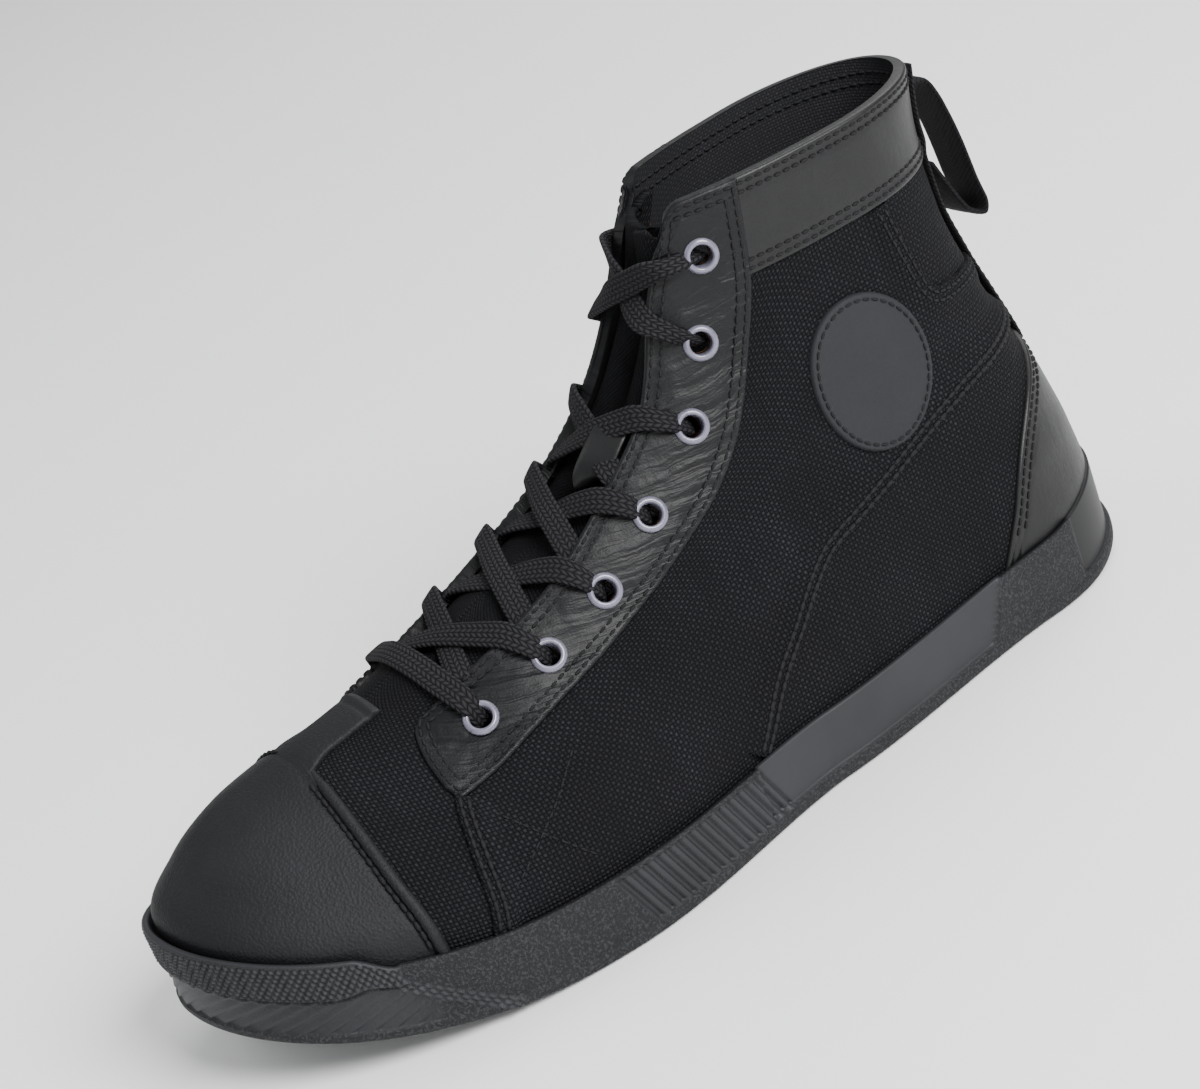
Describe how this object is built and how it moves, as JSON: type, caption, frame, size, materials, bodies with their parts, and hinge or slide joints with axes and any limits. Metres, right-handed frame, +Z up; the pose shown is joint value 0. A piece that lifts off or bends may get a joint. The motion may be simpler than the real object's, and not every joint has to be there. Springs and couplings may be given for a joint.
{
  "type": "motorcycle boot",
  "caption": "Short lace-up riding boot with rubber cupsole, smooth toe cap, cloth quarters, smooth eyestays, padded cuff, round ankle patch and heel pull loop.",
  "frame": {"origin": "on the floor under the middle of the heel", "axes": "+Z up, toe along -Y, outer (lateral) side of this left boot towards +X"},
  "size_m": [0.1079, 0.3026, 0.1587],
  "materials": {
    "rubber": "matte, sandy",
    "canvas": "matte plain weave",
    "leather": "satin, creased",
    "cap": "matte, fine pebble",
    "badge": "matte",
    "webbing": "matte woven tape",
    "enamel": "smooth enamel",
    "sock": "matte"
  },
  "bodies": {
    "root": {"upper": "canvas", "tongue": "canvas", "outsole": "rubber", "insole": "sock", "eyestay_lateral": "leather", "eyestay_medial": "leather", "collar_cuff": "leather", "heel_counter": "leather", "toe_cap": "cap", "ankle_patch": "badge", "heel_webbing": "webbing", "pull_loop": "webbing", "lace_crossings": "webbing", "lace_keeper": "leather", "eyelet_lateral_1": "enamel", "eyelet_lateral_2": "enamel", "eyelet_lateral_3": "enamel", "eyelet_lateral_4": "enamel", "eyelet_lateral_5": "enamel", "eyelet_lateral_6": "enamel", "eyelet_lateral_7": "enamel", "eyelet_medial_1": "enamel", "eyelet_medial_2": "enamel", "eyelet_medial_3": "enamel", "eyelet_medial_4": "enamel", "eyelet_medial_5": "enamel", "eyelet_medial_6": "enamel", "eyelet_medial_7": "enamel"}
  },
  "joints": []
}
